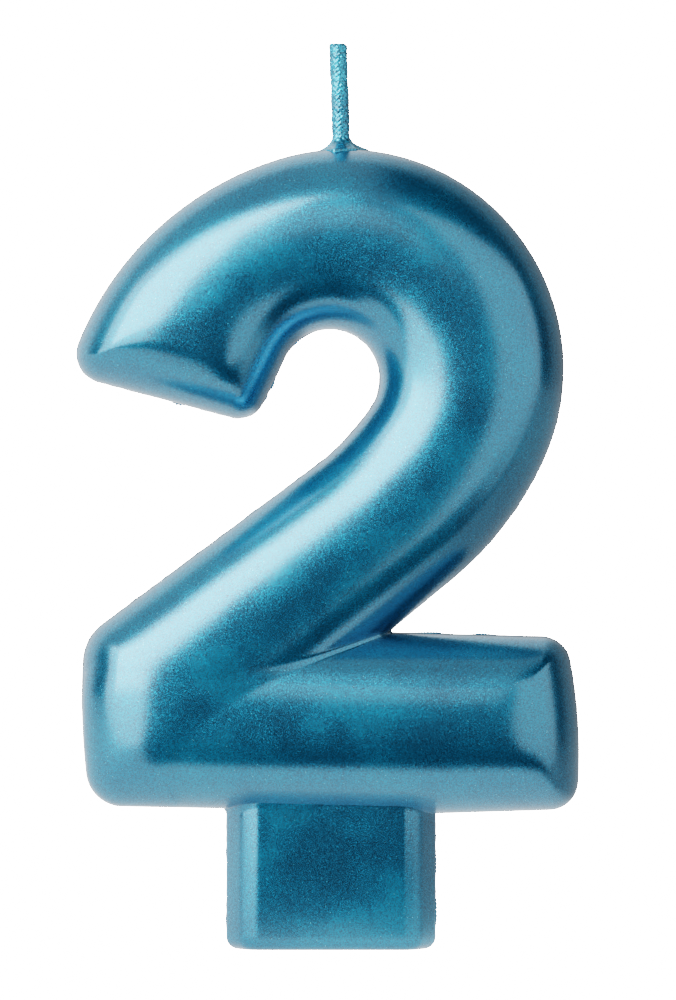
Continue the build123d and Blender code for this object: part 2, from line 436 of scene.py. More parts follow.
@dataclass(frozen=True)
class FigureShape:
    """Outline of the 2: a stroke that runs down through the bar, and the bar itself."""

    crown: float
    bar_half: float
    foot_height: float = 12.85
    bowl_radius: float = 20.0
    bowl_x: float = 1.25
    hole_radius: float = 4.5
    hole_shift: complex = -1.3 - 0.9j
    shoulder_radius: float = 28.8
    shoulder_join: float = 106.4
    heel_radius: float = 30.6
    heel_join: float = -24.5
    blend_radius: float = 22.0
    blend_join: float = -33.4
    throat_slope: float = 64.4
    end_slope: float = -14.9
    end_drop: float = 7.2
    notch: complex = 5.3 + 28.85j
    tip_corner: float = 2.7
    throat_corner: float = 2.6
    left_corner: float = 4.6
    heel_corner: float = 3.4
    bar_corner: float = 2.7
    bar_top_slope: float = -1.5
    bar_sag: tuple[complex, complex] = (-9.5 + 12.8j, 9.6 + 12.35j)
    bar_ends: tuple[float, float] = (13.05, 12.75)
    end_bow: float = 62.0
    right_bow: float = 46.0
    right_belly: float = 17.8
    left_belly: float = 22.9
    left_drop: float = 0.6
    buried_corner: float = 6.4
    top_beyond_right: float = 24.0
    top_beyond_left: float = 34.0

    @property
    def bowl(self) -> complex:
        """Centre of the bowl."""
        return complex(self.bowl_x, self.crown - self.bowl_radius)

    def left_end(self) -> Round:
        """Bowed left end of the bar, walked downwards."""
        centre = complex(-self.bar_half + self.end_bow, self.left_belly)
        return Round(centre, self.end_bow, 172.0, 190.0)

    def underside(self) -> list[Edge]:
        """Underside of the bar from left to right, a little higher at its ends."""
        left, right = self.bar_sag
        far = self.bar_half
        return [
            Straight(complex(-far, self.bar_ends[0]), left),
            Straight(left, right),
            Straight(right, complex(far, self.bar_ends[1])),
        ]

    def stroke(self) -> Outline:
        """Hook and diagonal down to the underside of the bar."""
        bowl = self.bowl
        hole = bowl + self.hole_shift
        shoulder = bowl - heading(self.shoulder_join) * (self.shoulder_radius - self.bowl_radius)
        heel = bowl - heading(self.heel_join) * (self.heel_radius - self.bowl_radius)
        blend = hole - heading(self.blend_join) * (self.blend_radius - self.hole_radius)
        heel_end = touching_angle(self.notch, heel, self.heel_radius)
        left = complex(-self.bar_half, self.notch.imag - self.left_drop)
        blend_end = touching_angle(left, blend, self.blend_radius)
        throat = self.throat_slope + 90
        throat_top = hole + self.hole_radius * heading(throat)
        throat_end = crossing(throat_top, self.throat_slope, bowl - 1j * self.end_drop, self.end_slope)
        run = heading(self.end_slope)
        local = (throat_end - shoulder) / run
        tip = shoulder + run * complex(-math.sqrt(self.shoulder_radius**2 - local.imag**2), local.imag)
        tip_angle = math.degrees(np.angle(tip - shoulder)) % 360
        heel_point = heel + self.heel_radius * heading(heel_end)
        blend_point = blend + self.blend_radius * heading(blend_end)
        under = self.underside()
        toe = crossing(heel_point, heel_end + 90, under[0].end, math.degrees(np.angle(under[0].run)))
        edges = [
            Straight(toe, heel_point),
            Round(heel, self.heel_radius, heel_end, self.heel_join),
            Round(bowl, self.bowl_radius, self.heel_join, self.shoulder_join),
            Round(shoulder, self.shoulder_radius, self.shoulder_join, tip_angle),
            Straight(tip, throat_end),
            Straight(throat_end, throat_top),
            Round(hole, self.hole_radius, throat, self.blend_join),
            Round(blend, self.blend_radius, self.blend_join, blend_end),
            Straight(blend_point, left),
            self.left_end(),
            Straight(under[0].start, toe),
        ]
        corners = {3: self.tip_corner, 4: self.throat_corner, 8: self.left_corner, 9: self.heel_corner}
        return Outline.rounded(edges, corners)

    def bar(self) -> Outline:
        """Base bar, its upper left corner buried in the diagonal."""
        along = heading(self.bar_top_slope)
        top = Straight(self.notch + self.top_beyond_right * along, self.notch - self.top_beyond_left * along)
        right = Round(complex(self.bar_half - self.right_bow, self.right_belly), self.right_bow, -10.0, 16.0)
        edges = [*self.underside(), right, top, self.left_end()]
        corners = {2: self.bar_corner, 3: self.bar_corner, 4: self.buried_corner, 5: self.heel_corner}
        return Outline.rounded(edges, corners)


@dataclass(frozen=True)
class PillowProfile:
    """How thick the figure is at a distance in from its outline.

    Half the thickness is the land of the mould at the outline, plus a quarter ellipse over the rim that is
    carried on by a crown, a parabola that is level at the crest.
    """

    crest: float
    land: float = 0.75
    rim: float = 3.7
    crest_run: float = 7.75
    crown_radius: float = 17.0
    outside_fall: float = 6.0

    def over_land(self, depth: np.ndarray) -> np.ndarray:
        """Height above the land at a depth in from the outline."""
        inside = np.clip(depth, 0.0, self.crest_run)
        crown = self.crest - (self.crest_run - inside) ** 2 / (2 * self.crown_radius)
        share = 1.0 - np.clip(inside / self.rim, 0.0, 1.0)
        arch = (crown - self.land) * np.sqrt(np.maximum(1.0 - share * share, 0.0))
        return np.where(depth < 0, depth * self.outside_fall, arch)


@dataclass
class FigureBody:
    """The moulded figure without its foot, as one closed surface.

    Both faces are a height over a square grid in the outline's plane. The grid's outer ring is slid onto the
    outline, the rows near it are crowded towards it where the rim is steep, and the front and the back are
    joined by the land of the mould.
    """

    shape: FigureShape
    crest: float
    inset: float = 0.0
    step: float = 0.24
    valley_high: float = 0.45
    valley_low: float = 2.4
    crowding_gap: float = 2.2
    softening: float = 1.32
    soft_from: float = 1.3
    soft_to: float = 4.4
    relax_rounds: int = 14
    relaxed_rows: int = 4
    wave_from: float = 0.5
    wave_to: float = 4.0
    wave_layer: float = 9.0
    fill_from: float = 0.1
    fill_to: float = 1.5
    grid_margin: float = 1.5
    unevenness: tuple[Ripple, Ripple] = (Ripple(0.022, 13.0, 3), Ripple(0.004, 4.0, 4))
    stroke: Outline = field(init=False)
    bar: Outline = field(init=False)
    profile: PillowProfile = field(init=False)

    def __post_init__(self) -> None:
        """Work out the outlines and the profile once."""
        self.stroke, self.bar = self.shape.stroke(), self.shape.bar()
        self.profile = PillowProfile(crest=self.crest - self.inset)

    def depths(self, place: np.ndarray) -> tuple[np.ndarray, np.ndarray]:
        """Depth in from the stroke's outline and from the bar's."""
        return self.stroke.depth(place) - self.inset, self.bar.depth(place) - self.inset

    def depth(self, place: np.ndarray) -> np.ndarray:
        """Depth in from the outline of the two together: the larger of the two depths."""
        return np.maximum(*self.depths(place))

    def inwards(self, place: np.ndarray, nudge: float = 1e-3) -> np.ndarray:
        """Unit direction in which the depth grows, by central differences."""
        slope = self.depth(place + nudge) - self.depth(place - nudge)
        rise = self.depth(place + 1j * nudge) - self.depth(place - 1j * nudge)
        way = slope + 1j * rise
        return way / np.maximum(np.abs(way), 1e-9)

    def over_land(self, place: np.ndarray) -> np.ndarray:
        """Height above the land of the two pillows together."""
        return self.filled(*(self.profile.over_land(depth) for depth in self.depths(place)))

    def filled(self, stroke: np.ndarray, bar: np.ndarray) -> np.ndarray:
        """The larger of two heights, with the valley between them filled.

        The filling adds (valley - gap) squared over 4 valleys where the two heights differ by less than one
        valley. The valley is broad near the rim and narrow at the crest. The filling fades out at the rim, so
        that the outline stays.
        """
        top = np.maximum(stroke, bar)
        share = np.clip(top / (self.profile.crest - self.profile.land), 0.0, 1.0)
        valley = self.valley_low + (self.valley_high - self.valley_low) * share
        near = np.maximum(valley - np.abs(stroke - bar), 0.0)
        return top + near * near / (4 * valley) * ease(top, self.fill_from, self.fill_to)

    def grid(self) -> tuple[np.ndarray, np.ndarray]:
        """Grid places over the figure's box, and which cells have their middle inside."""
        reach = self.grid_margin
        low_x, high_x = -self.shape.bar_half - reach, self.shape.bar_half + reach
        low_z, high_z = self.shape.foot_height - 2 * reach, self.shape.crown + reach
        x = np.arange(low_x, high_x, self.step)
        z = np.arange(low_z, high_z, self.step)
        place = x[None, :] + 1j * z[:, None]
        middle = place[:-1, :-1] + self.step * (0.5 + 0.5j)
        return place, self.depth(middle) > 0

    def softened(self, place: np.ndarray) -> np.ndarray:
        """Height above the land on the grid after repeated averaging, to take the edge off the mitres."""
        heights, passes = [], round(2 * (self.softening / self.step) ** 2)
        for depth in self.depths(place):
            height = self.profile.over_land(depth)
            for _ in range(passes):
                for axis in (0, 1):
                    height = (np.roll(height, 1, axis) + 2 * height + np.roll(height, -1, axis)) / 4
            heights.append(height)
        return self.filled(*heights)

    def relaxed(self, place: np.ndarray, quads: np.ndarray) -> tuple[np.ndarray, np.ndarray]:
        """Slide the outer ring of the grid onto the outline and even out the rows beside it.

        Args:
            place: places of the used grid points.
            quads: faces over them.

        Returns:
            The new places, and the pairs of points along the rim in walking order.
        """
        sides = np.vstack([quads[:, [a, (a + 1) % 4]] for a in range(4)])
        ordered = np.sort(sides, axis=1)
        key = ordered[:, 0].astype(np.int64) * len(place) + ordered[:, 1]
        _, first, count = np.unique(key, return_index=True, return_counts=True)
        rim = sides[first[count == 1]]
        inner = sides[first]
        on_rim = np.zeros(len(place), bool)
        on_rim[rim.ravel()] = True
        free = ~on_rim & (self.depth(place) < self.relaxed_rows * self.step)
        ends = np.concatenate([inner, inner[:, ::-1]])
        rim_ends = np.concatenate([rim, rim[:, ::-1]])
        for _ in range(self.relax_rounds):
            for pairs, moved in ((rim_ends, on_rim), (ends, free)):
                gathered = place[pairs[:, 1]]
                weight = np.maximum(np.bincount(pairs[:, 0], minlength=len(place)), 1)
                mean = (
                    np.bincount(pairs[:, 0], gathered.real, len(place))
                    + 1j * np.bincount(pairs[:, 0], gathered.imag, len(place))
                ) / weight
                place = np.where(moved, 0.5 * place + 0.5 * mean, place)
            for _ in range(2):
                edge = place[on_rim]
                place[on_rim] = edge - self.inwards(edge) * self.depth(edge)
        return place, rim

    def crowded(self, place: np.ndarray, fixed: np.ndarray) -> np.ndarray:
        """Move the rows near the rim towards it, by the law rim * (1 - cos(quarter turn * depth/rim)).

        The law is eased off in the valley between the pillows, where the two would cross.
        """
        stroke, bar = self.depths(place)
        depth, rim = np.maximum(stroke, bar), self.profile.rim
        share = np.clip(depth / rim, 0.0, 1.0)
        wanted = np.where(depth < rim, rim * (1 - np.cos(QUARTER * share)), depth)
        apart = ease(np.abs(stroke - bar), 0.0, self.crowding_gap)
        shift = (wanted - depth) * apart * self.inwards(place)
        return np.where(fixed, place, place + shift)

    def sampled(self, array: np.ndarray, grid: np.ndarray, place: np.ndarray) -> np.ndarray:
        """Value of a grid array at any places, by bilinear weights."""
        local = (place - grid[0, 0]) / self.step
        column = np.clip(local.real.astype(int), 0, grid.shape[1] - 2)
        row = np.clip(local.imag.astype(int), 0, grid.shape[0] - 2)
        u, v = local.real - column, local.imag - row
        near = array[row, column] * (1 - u) + array[row, column + 1] * u
        far = array[row + 1, column] * (1 - u) + array[row + 1, column + 1] * u
        return near * (1 - v) + far * v

    def build(self) -> Skin:
        """Both faces and the land between them.

        Returns:
            The closed skin of the figure without its foot.
        """
        grid, kept = self.grid()
        index = np.arange(grid.size).reshape(grid.shape)
        quads = np.stack(
            [index[:-1, :-1][kept], index[:-1, 1:][kept], index[1:, 1:][kept], index[1:, :-1][kept]], -1
        )
        used, compact = np.unique(quads, return_inverse=True)
        quads = compact.reshape(-1, 4)
        place, rim = self.relaxed(grid.ravel()[used], quads)
        on_rim = np.zeros(len(place), bool)
        on_rim[rim.ravel()] = True
        place = self.crowded(place, on_rim)

        soft = self.softened(grid)
        slope_z, slope_x = np.gradient(soft, self.step)
        depth = self.depth(place)
        share = ease(depth, self.soft_from, self.soft_to)
        raw = np.where(on_rim, 0.0, np.maximum(self.over_land(place), 0.0))
        height = raw * (1 - share) + self.sampled(soft, grid, place) * share

        nudge = 5e-3
        squares = [self.over_land(place + way * nudge) for way in (1, -1, 1j, -1j)]
        squares = [np.where(value > 0, value * value, 0.0) for value in squares]
        steep = np.stack([squares[1] - squares[0], -4 * nudge * raw, squares[3] - squares[2]], -1)
        outward = -self.inwards(place)
        steep[on_rim] = np.stack([outward.real, np.zeros_like(raw), outward.imag], -1)[on_rim]
        across, up = self.sampled(slope_x, grid, place), self.sampled(slope_z, grid, place)
        gentle = np.stack([-across, -np.ones_like(raw), -up], -1)
        mixed = unit_rows(steep) * (1 - share)[:, None] + unit_rows(gentle) * share[:, None]
        normals = unit_rows(mixed)

        fade = ease(height, self.wave_from, self.wave_to)
        skins = []
        for side in Side:
            wave = self.wave(place, side)
            y = side.value * (self.profile.land + height + wave * fade)
            points = np.stack([place.real, y, place.imag], -1)
            faces = quads if side is Side.FRONT else quads[:, ::-1]
            tilt = self.wave_tilt(place, side) * fade[:, None]
            way = normals * np.array([1.0, -side.value, 1.0])
            way = unit_rows(way - np.abs(way[:, 1:2]) * np.insert(tilt, 1, 0.0, axis=1))
            skins.append(Skin(points, faces, way))
        count = len(place)
        land = np.stack([rim[:, 0], rim[:, 0] + count, rim[:, 1] + count, rim[:, 1]], -1)
        both = Skin.joined(skins)
        return Skin(both.points, np.vstack([both.faces, land]), both.normals)

    def wave(self, place: np.ndarray, side: Side) -> np.ndarray:
        """Height of the unevenness of one face, which differs from the other face's."""
        layer = np.full(place.shape, side.value * self.wave_layer)
        return sum(ripple.at(place.real, place.imag, layer) for ripple in self.unevenness)

    def wave_tilt(self, place: np.ndarray, side: Side) -> np.ndarray:
        """Slope of the unevenness along X and Z, by central differences."""
        nudge = 0.05
        columns = [
            (self.wave(place + way, side) - self.wave(place - way, side)) / (2 * nudge)
            for way in (nudge, 1j * nudge)
        ]
        return np.stack(columns, -1)


def unit_rows(rows: np.ndarray) -> np.ndarray:
    """Each row divided by its length."""
    return rows / np.maximum(np.linalg.norm(rows, axis=1, keepdims=True), 1e-12)


@dataclass
class FootBlock:
    """The foot: a flat-faced block with slanted flanks, a rounded sole and a small fillet at its root.

    A profile of (inset, height) pairs is carried round a section of two straight faces and two sides. A side
    is a walk whose heading turns at set marks: round the corner, along the slant of the flank, and round to
    the parting line, where it is mirrored. The profile starts at the lip of the bare patch and ends inside
    the bar. The faces thin a little towards the sole, and are lifted at the root to meet the bar's curve.
    """

    half_width: float
    half_thickness: float
    root_height: float
    inset: float = 0.0
    centre_x: float = 0.05
    side_run: float = 3.15
    flank_marks: tuple[float, ...] = (0.0, 2.1, 4.0, 4.6)
    flank_headings: tuple[float, ...] = (0.0, 58.0, 63.0, 90.0)
    flank_samples: int = 2000
    sole_radius: float = 1.1
    lip: float = 1.8
    root_fillet: float = 0.95
    fillet_turn: float = 1.05
    face_lift: float = 1.12
    buried: float = 1.4
    sole_arch: float = 0.12
    draft: float = 0.012
    root_drop: float = 0.75
    lift_from: float = 6.0
    lift_below_root: float = 0.8
    columns: int = 260
    step: float = 0.24
    streaks: Ripple = Ripple(0.022, 0.55, 11, 12)
    streak_stretch: float = 0.12
    swell: Ripple = Ripple(0.012, 9.0, 12)
    closed_sole: bool = False

    def section(self) -> tuple[np.ndarray, np.ndarray]:
        """Points round the section, anticlockwise from above, and the outward directions, in X + Y*1j."""
        face = 2 * (self.half_width - self.side_run)
        half_side = self.flank_marks[-1]
        shares = np.array([face, 2 * half_side])
        counts = np.round(self.columns * shares / (2 * shares.sum())).astype(int)
        flat = np.linspace(-1, 1, counts[0], endpoint=False) * face / 2
        along = np.linspace(0, half_side, self.flank_samples)
        turn = np.radians(np.interp(along, self.flank_marks, self.flank_headings))
        walk = np.cumsum(np.exp(1j * turn))
        walk -= walk[0]
        run = walk.real / walk[-1].real * self.side_run
        rise = walk.imag / walk[-1].imag * self.half_thickness
        mark = np.linspace(0, 2 * half_side, counts[1], endpoint=False)
        mirrored = mark > half_side
        mark = np.where(mirrored, 2 * half_side - mark, mark)
        side = np.interp(mark, along, run) + 1j * (np.interp(mark, along, rise) - self.half_thickness)
        out = np.exp(1j * (np.interp(mark, along, turn) - QUARTER))
        side, out = (np.where(mirrored, value.conj(), value) for value in (side, out))
        front = flat - 1j * self.half_thickness
        right = face / 2 + side
        points = np.concatenate([front, right, -front, -right])
        outward = np.concatenate([np.full(len(flat), -1j), out, np.full(len(flat), 1j), -out])
        return points, outward

    def rows(self) -> tuple[np.ndarray, np.ndarray]:
        """Insets and heights of the profile, from the lip of the patch up into the bar."""
        turn = np.linspace(0, QUARTER, 9)
        sole_in = self.sole_radius * (1 - np.sin(turn))
        sole_up = self.sole_radius * (1 - np.cos(turn))
        start = self.root_height - self.root_drop
        wall = np.arange(self.sole_radius + self.step, start, self.step)
        swing = np.linspace(0, self.fillet_turn, 9)
        fillet_out = -self.root_fillet * (1 - np.cos(swing))
        fillet_up = start + self.root_fillet * np.sin(swing)
        lip = np.linspace(self.lip, self.sole_radius, 4, endpoint=False)
        top = fillet_up[-1] + self.buried
        inset = np.concatenate([lip, sole_in, np.zeros(len(wall)), fillet_out, [fillet_out[-1]]])
        height = np.concatenate([np.zeros(len(lip)), sole_up, wall, fillet_up, [top]])
        return inset + self.inset, height + self.inset * (height <= 0)

    def build(self) -> Skin:
        """The foot as one skin, open at its bare patch unless the sole is asked for."""
        points, outward = self.section()
        inset, height = self.rows()
        inset, height = inset[:, None], height[:, None] + 0 * points.real[None, :]
        place = points[None, :] - outward[None, :] * inset
        across = place.real / self.half_width
        front = np.abs(outward.imag)[None, :]
        arch = self.sole_arch * (1 - across**2) * front * ease(inset, 0.0, self.sole_radius)
        arch = arch * np.where(height < self.sole_radius, 1.0, 0.0) * ease(height, 0.0, 0.3)
        near_root = ease(height, self.root_height - 1.5, self.root_height - 0.5)
        squeezed = place * self.streak_stretch
        wave = self.streaks.at(squeezed.real, height, squeezed.imag) * near_root * front
        swell = self.swell.at(place.real, height, place.imag) * ease(height, 1.0, 3.0)
        place = place + outward[None, :] * (wave + swell)
        rising = ease(height, self.lift_from, self.root_height - self.lift_below_root)
        lift = self.face_lift * np.abs(place.imag / self.half_thickness) ** 3 * rising
        taper = 1 - self.draft * np.maximum(self.root_height - height, 0.0) / self.half_thickness
        cloud = np.stack([place.real + self.centre_x, place.imag * taper, height + arch + lift], -1)
        return Skin.woven(cloud, closed=True, lids=(self.closed_sole, False))


@dataclass(frozen=True)
class Nub:
    """A crumb of flash left on the parting line."""

    place: complex
    length: float
    height: float


@dataclass
class PartingFlash:
    """The ragged ridge that the two halves of the mould leave round the outline.

    A low half-round profile is carried along each outline where it shows. Its height is a base height times
    a ripple, with a bell curve added for each crumb.
    """

    figure: FigureBody
    foot: FootBlock
    height: float = 0.05
    half_width: float = 0.17
    sunk: float = 0.03
    step: float = 0.12
    close_ripple: Ripple = Ripple(0.35, 1.1, 21)
    long_ripple: Ripple = Ripple(0.3, 4.0, 22)
    seen_depth: float = 0.2
    foot_cover: float = 1.0
    foot_clear: float = 0.1
    into_bar: float = 0.3
    least: float = 0.25
    most: float = 2.2
    columns: int = 7
    roundness: float = 0.7
    wander: float = 0.05
    nubs: tuple[Nub, ...] = (
        Nub(-5.5 + 51.4j, 0.5, 0.24),
        Nub(-6.0 + 50.3j, 0.35, 0.20),
        Nub(-3.0 + 55.2j, 0.9, 0.12),
        Nub(-13.8 + 49.9j, 0.45, 0.22),
        Nub(0.9 + 56.6j, 0.35, 0.14),
        Nub(9.3 + 28.8j, 1.4, 0.16),
        Nub(13.8 + 28.7j, 1.0, 0.12),
        Nub(9.65 + 8.0j, 0.8, 0.12),
        Nub(9.65 + 3.4j, 1.1, 0.14),
        Nub(-3.6 + 12.7j, 0.6, 0.1),
    )

    def foot_walk(self) -> tuple[np.ndarray, np.ndarray]:
        """The foot's two sides, walked anticlockwise, with their outward directions."""
        side, top = self.foot.half_width, self.foot.root_height + self.into_bar
        z = np.arange(self.foot.sole_radius, top, self.step)
        left = -side + self.foot.centre_x + 1j * z[::-1]
        right = side + self.foot.centre_x + 1j * z
        outward = np.repeat([-1 + 0j, 1 + 0j], len(z))
        return np.concatenate([left, right]), outward

    def ridge(self, points: np.ndarray, outward: np.ndarray) -> Skin:
        """One run of the ridge.

        Args:
            points: places along the run.
            outward: unit directions out of the wax.

        Returns:
            The ridge as an open strip whose edges are sunk in the wax.
        """
        rough = self.close_ripple.at(points.real, points.imag) + self.long_ripple.at(points.real, points.imag)
        high = self.height * np.clip(1.0 + rough, self.least, self.most)
        crumbly = 0.8 + 0.5 * np.sin(points.real * 23.0 + points.imag * 17.0)
        for nub in self.nubs:
            high += nub.height * np.exp(-((np.abs(points - nub.place) / nub.length) ** 2)) * crumbly
        swing = np.linspace(-1, 1, self.columns)
        bulge = np.cos(swing * QUARTER) ** self.roundness
        place = points[:, None] + outward[:, None] * (high[:, None] * bulge[None, :] - self.sunk)
        width = self.half_width * (0.8 + 0.25 * np.sin(points.real * 1.7 + points.imag * 2.3))
        drift = self.wander * np.sin(points.real * 0.9 - points.imag)
        y = width[:, None] * swing[None, :] + drift[:, None]
        cloud = np.stack([place.real, y, place.imag], -1)
        return Skin.woven(cloud[:, ::-1], closed=False)

    def build(self) -> Skin:
        """Every run of the ridge that shows."""
        skins = []
        stroke, bar = self.figure.stroke, self.figure.bar
        foot_side = self.foot.half_width + self.foot_clear
        foot_top = self.foot.root_height + self.foot_cover
        walks = (
            (stroke.walk(self.step), bar),
            (bar.walk(self.step), stroke),
            (self.foot_walk(), None),
        )
        for (points, outward), other in walks:
            if other is None:
                shown = self.figure.depth(points) < self.seen_depth
            else:
                under_foot = (np.abs(points.real) < foot_side) & (points.imag < foot_top)
                shown = (other.depth(points) < self.seen_depth) & ~under_foot
            cuts = np.flatnonzero(np.diff(shown.astype(int))) + 1
            jumps = np.flatnonzero(np.abs(np.diff(points)) > 4 * self.step) + 1
            for run in np.split(np.arange(len(points)), np.unique(np.concatenate([cuts, jumps]))):
                if len(run) > 3 and shown[run[0]]:
                    skins.append(self.ridge(points[run], outward[run]))
        return Skin.joined(skins)


@dataclass
class BraidedWick:
    """The short stiff wick: yarn lay under lacquer, a slanted tip, and a ragged collar on the crown.

    A profile of (height, radius) is carried round the leaning axis. The radius adds two opposite helices of
    yarn, one of rounded strands and one a sine, and two ripples. The collar flares by a power of the distance
    below its top, and its edge is ragged by a sum of (share, waves round, phase) sines.
    """

    root: complex
    lean: float
    length: float
    radius: float = 0.8
    core: float = 0.735
    columns: int = 128
    step: float = 0.05
    lay_strands: int = 9
    lay_pitch: float = 3.7
    cross_strands: int = 8
    cross_pitch: float = 4.3
    lay_relief: float = 0.022
    cross_relief: float = 0.015
    collar_spread: float = 1.25
    collar_height: float = 1.3
    collar_hollow: float = 2.3
    collar_waves: tuple[tuple[float, int, float], ...] = ((0.16, 3, 0.6), (0.10, 7, 1.9), (0.05, 13, 0.0))
    rough: Ripple = Ripple(0.022, 0.4, 31, 12)
    swell: Ripple = Ripple(0.022, 2.6, 32)
    buried: float = 0.5
    tip_round: float = 0.22
    tip_slant: float = 0.07
    slant_run: float = 0.8
    tip_rows: int = 8
    end_rings: int = 6
    end_share: float = 0.97
    strand_round: float = 0.6

    def build(self) -> Skin:
        """The wick as one closed skin."""
        z = np.concatenate([
            np.arange(-self.buried, self.collar_height, self.step / 2),
            np.arange(self.collar_height, self.length - self.tip_round, self.step),
        ])
        tip = np.linspace(0, 1, self.tip_rows)
        tip_z = self.length - self.tip_round + self.tip_round * np.sin(tip * QUARTER)
        tip_in = self.tip_round * (1 - np.cos(tip * QUARTER))
        flat = np.linspace(0, 1, self.end_rings)[1:] * (self.radius - self.tip_round) * self.end_share
        rise = np.concatenate([z, tip_z, np.full(len(flat), self.length)])
        inset = np.concatenate([np.zeros(len(z)), tip_in, self.tip_round + flat])
        angle = np.linspace(0, 2 * math.pi, self.columns, endpoint=False)
        a, s = angle[None, :], rise[:, None]

        lay = self.lay_strands * a - 2 * math.pi * self.lay_strands * s / self.lay_pitch
        cross = self.cross_strands * a + 2 * math.pi * self.cross_strands * s / self.cross_pitch
        strands = np.abs(np.cos(lay / 2)) ** self.strand_round * 2 - 1
        yarn = self.lay_relief * strands + self.cross_relief * np.sin(cross)
        x, y = self.radius * np.cos(a) + 0 * s, self.radius * np.sin(a) + 0 * s
        uneven = self.rough.at(x, y, s + 0 * a) + self.swell.at(x, y, s + 0 * a)
        full = self.radius + (yarn + uneven) * ease(s, 0.1, 1.0)
        full = np.maximum(full, self.core)

        down = np.clip(1 - s / self.collar_height, 0.0, 1.05)
        ragged = sum(share * np.sin(waves * a + phase) for share, waves, phase in self.collar_waves)
        flare = self.collar_spread * down**self.collar_hollow * (1 + ragged * ease(down, 0.3, 1.0))
        flare += 0.05 * np.sin(9 * a + 4 * s) * down * (1 - down)
        radius = np.maximum(full + flare - inset[:, None], 0.0)

        slope = math.radians(self.lean)
        side = radius * np.cos(a)
        raised = s - self.tip_slant * side * ease(s, self.length - self.slant_run, self.length)
        cloud = np.stack(
            [
                self.root.real + side * math.cos(slope) - raised * math.sin(slope),
                radius * np.sin(a),
                self.root.imag + side * math.sin(slope) + raised * math.cos(slope),
            ],
            -1,
        )
        return Skin.woven(cloud, closed=True, lids=(True, True))


# ---------------------------------------------------------------------------------------------
# Shaders
# ---------------------------------------------------------------------------------------------


class NodeBench:
    """Lays out nodes in one tree."""

    def __init__(self, tree: bpy.types.NodeTree) -> None:
        """Start with an empty tree."""
        self.tree = tree
        tree.nodes.clear()

    def put(self, kind: str, sockets: dict | None = None, **settings: object) -> bpy.types.Node:
        """Add a node.

        Args:
            kind: the node's type name without "ShaderNode".
            sockets: values or (node, output name) pairs by input name or number.
            settings: properties of the node.

        Returns:
            The node.
        """
        name = kind if kind.startswith("NodeGroup") else "ShaderNode" + kind
        node = self.tree.nodes.new(name)
        for key, value in settings.items():
            setattr(node, key, value)
        for key, value in (sockets or {}).items():
            self.feed(node, key, value)
        return node

    def feed(self, node: bpy.types.Node, key: str | int, value: object) -> None:
        """Set an input to a value, or link it to (node, output name)."""
        if isinstance(value, tuple) and isinstance(value[0], bpy.types.Node):
            self.tree.links.new(value[0].outputs[value[1]], node.inputs[key])
        else:
            node.inputs[key].default_value = value

    def maths(self, operation: str, *values: object) -> tuple:
        """A Math node's result."""
        return self.put("Math", dict(enumerate(values)), operation=operation), 0

    def vectors(self, operation: str, *values: object) -> tuple:
        """A Vector Math node's result."""
        return self.put("VectorMath", dict(enumerate(values)), operation=operation), 0

    def span(
        self, value: object, low: float, high: float, to_low: float = 0.0, to_high: float = 1.0
    ) -> tuple:
        """A smooth Map Range from low..high to to_low..to_high."""
        sockets = {"Value": value, "From Min": low, "From Max": high, "To Min": to_low, "To Max": to_high}
        return self.put("MapRange", sockets, interpolation_type="SMOOTHSTEP"), "Result"

    def blend(self, factor: object, first: object, second: object) -> tuple:
        """A colour mix."""
        node = self.put("Mix", data_type="RGBA")
        for key, value in (("Factor_Float", factor), ("A_Color", first), ("B_Color", second)):
            socket = next(s for s in node.inputs if s.identifier == key)
            if isinstance(value, tuple) and isinstance(value[0], bpy.types.Node):
                self.tree.links.new(value[0].outputs[value[1]], socket)
            else:
                socket.default_value = value
        return node, next(i for i, s in enumerate(node.outputs) if s.identifier == "Result_Color")


def colour(red: float, green: float, blue: float) -> tuple[float, float, float, float]:
    """Linear colour with full alpha."""
    return red, green, blue, 1.0


@dataclass(frozen=True)
class GroupSocket:
    """One input of a node group."""

    name: str
    kind: str
    value: object = None


